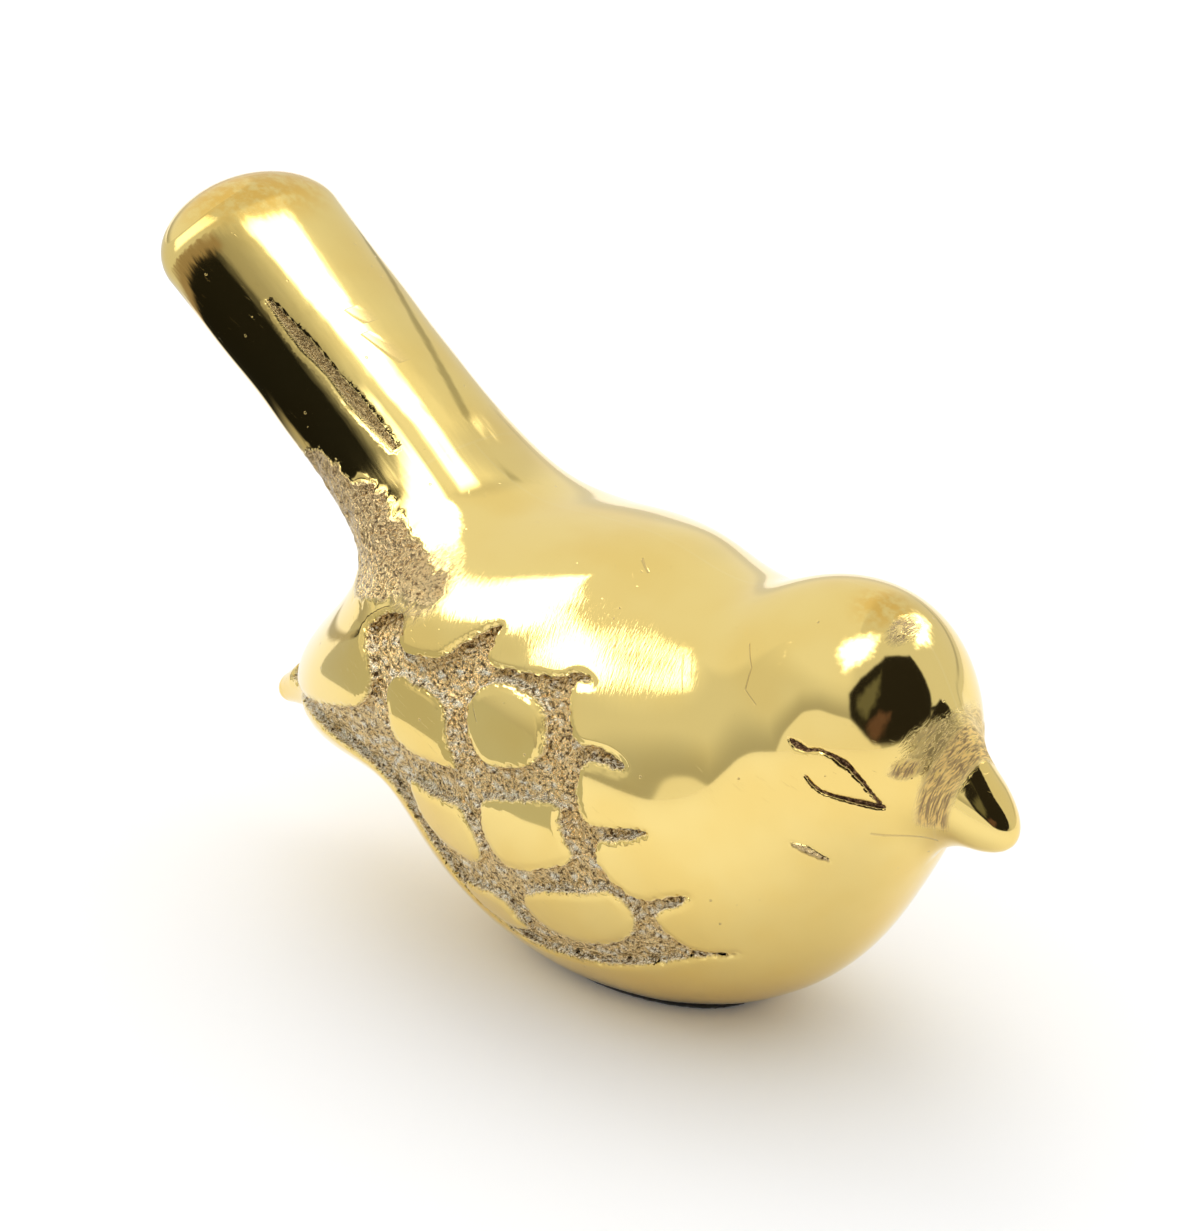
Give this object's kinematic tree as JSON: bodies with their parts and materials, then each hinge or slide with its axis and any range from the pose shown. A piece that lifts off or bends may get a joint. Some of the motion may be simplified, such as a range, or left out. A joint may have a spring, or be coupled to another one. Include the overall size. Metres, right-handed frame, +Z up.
{
  "type": "bird figurine",
  "caption": "Cast brass bird with an upswept paddle tail, carved wing feathers and engraved eyes, built from joined hollow castings; rests on a table on a felt pad.",
  "frame": {"origin": "centre of the felt pad's underside, under the middle of the body", "axes": "+X towards the beak, +Y to the bird's left, +Z up"},
  "size_m": [0.1032, 0.0388, 0.0655],
  "materials": {
    "polished_brass": "mirror polished, with rough as-cast ground between the feathers",
    "rough_brass": "as turned, dull",
    "braze": "filed and polished flush with the castings",
    "pad_glue": "thin dried contact glue",
    "felt": "short dense wool felt"
  },
  "bodies": {
    "root": {"right_body_half": "polished_brass", "left_body_half": "polished_brass", "front_seam_braze": "braze", "rear_seam_braze": "braze", "tail": "polished_brass", "tail_braze": "braze", "beak": "polished_brass", "beak_braze": "braze", "core_plug": "rough_brass", "pad_glue": "pad_glue", "felt_pad": "felt"}
  },
  "joints": []
}
